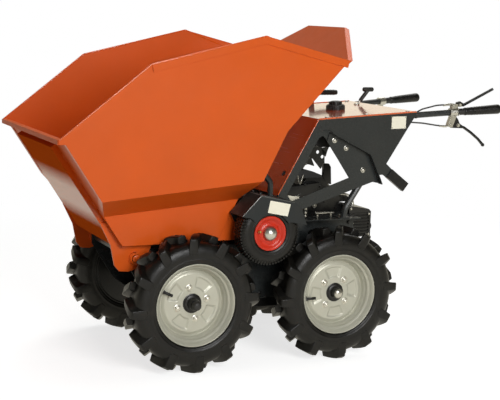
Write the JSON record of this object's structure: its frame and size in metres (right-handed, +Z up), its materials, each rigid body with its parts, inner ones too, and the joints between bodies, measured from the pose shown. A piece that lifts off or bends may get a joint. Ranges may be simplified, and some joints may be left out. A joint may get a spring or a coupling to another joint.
{
  "type": "walk-behind site dumper",
  "caption": "Walk-behind site dumper: orange tipping skip, lugged road tyres turned by small friction wheels, engine under a console, and two splayed handles.",
  "frame": {"origin": "middle of the footprint of the bounding box, on the ground", "axes": "+X forward, towards the lip of the skip; +Y to the left of the machine; +Z up"},
  "size_m": [1.688, 0.739, 1.142],
  "materials": {
    "orange_paint": "glossy orange enamel",
    "grey_paint": "dark grey satin paint",
    "black_paint": "satin black paint",
    "rim_silver": "silver wheel paint",
    "tyre_rubber": "black tyre rubber",
    "red_paint": "glossy red enamel",
    "steel": "zinc plated steel",
    "black_plastic": "black moulded plastic",
    "black_rubber": "black rubber"
  },
  "bodies": {
    "chassis": {"chassis_frame": "grey_paint", "engine_deck": "grey_paint", "belly_pan": "black_paint", "tip_pivot": "steel", "skip_pads": "black_rubber", "front_axle": "black_paint", "rear_axle": "black_paint", "gearbox": "black_paint", "drive_guard_left": "grey_paint", "drive_guard_right": "grey_paint", "drive_bearings": "steel", "console_side_left": "grey_paint", "console_side_right": "grey_paint", "console_cover": "orange_paint", "console_back": "grey_paint", "heel_sleeves": "black_rubber", "brace_arms": "grey_paint", "handle_tubes": "grey_paint", "grips": "black_rubber", "lever_clamp": "steel", "hand_levers": "black_paint", "control_cables": "black_plastic", "direction_lever": "black_plastic", "tipping_lever": "black_plastic", "fuel_tank": "black_plastic", "filler_cap": "black_plastic", "engine_block": "black_paint", "air_cleaner": "black_plastic", "recoil_starter": "black_plastic", "muffler": "black_paint", "support_tubes": "grey_paint", "skip_rest": "grey_paint"},
    "skip": {"skip_side_left": "orange_paint", "skip_side_right": "orange_paint", "skip_front_wall": "orange_paint", "skip_rear_wall": "orange_paint", "skip_floor": "orange_paint", "skip_rims": "orange_paint", "skip_front_channel": "orange_paint", "skip_brackets": "orange_paint"},
    "wheel_front_left": {"tyre_front_left": "tyre_rubber", "rim_front_left": "rim_silver"},
    "wheel_front_right": {"tyre_front_right": "tyre_rubber", "rim_front_right": "rim_silver"},
    "wheel_rear_left": {"tyre_rear_left": "tyre_rubber", "rim_rear_left": "rim_silver"},
    "wheel_rear_right": {"tyre_rear_right": "tyre_rubber", "rim_rear_right": "rim_silver"},
    "drive_wheel_left": {"drive_tyre_left": "tyre_rubber", "drive_rim_left": "red_paint"},
    "drive_wheel_right": {"drive_tyre_right": "tyre_rubber", "drive_rim_right": "red_paint"}
  },
  "joints": [
    {"name": "skip_tip", "type": "hinge", "parent": "chassis", "child": "skip", "pos_m": [0.53764, 0, 0.372], "axis": [0, 1, 0], "range_deg": [0, 85]},
    {"name": "wheel_front_left_turn", "type": "hinge", "parent": "chassis", "child": "wheel_front_left", "pos_m": [0.37514, 0.3115, 0.232], "axis": [0, 1, 0], "continuous": true},
    {"name": "wheel_front_right_turn", "type": "hinge", "parent": "chassis", "child": "wheel_front_right", "pos_m": [0.37514, -0.3115, 0.232], "axis": [0, 1, 0], "continuous": true},
    {"name": "wheel_rear_left_turn", "type": "hinge", "parent": "chassis", "child": "wheel_rear_left", "pos_m": [-0.15986, 0.3115, 0.232], "axis": [0, 1, 0], "continuous": true},
    {"name": "wheel_rear_right_turn", "type": "hinge", "parent": "chassis", "child": "wheel_rear_right", "pos_m": [-0.15986, -0.3115, 0.232], "axis": [0, 1, 0], "continuous": true},
    {"name": "drive_wheel_left_turn", "type": "hinge", "parent": "chassis", "child": "drive_wheel_left", "pos_m": [0.10764, 0.309, 0.45615], "axis": [0, 1, 0], "continuous": true},
    {"name": "drive_wheel_right_turn", "type": "hinge", "parent": "chassis", "child": "drive_wheel_right", "pos_m": [0.10764, -0.309, 0.45615], "axis": [0, 1, 0], "continuous": true}
  ]
}
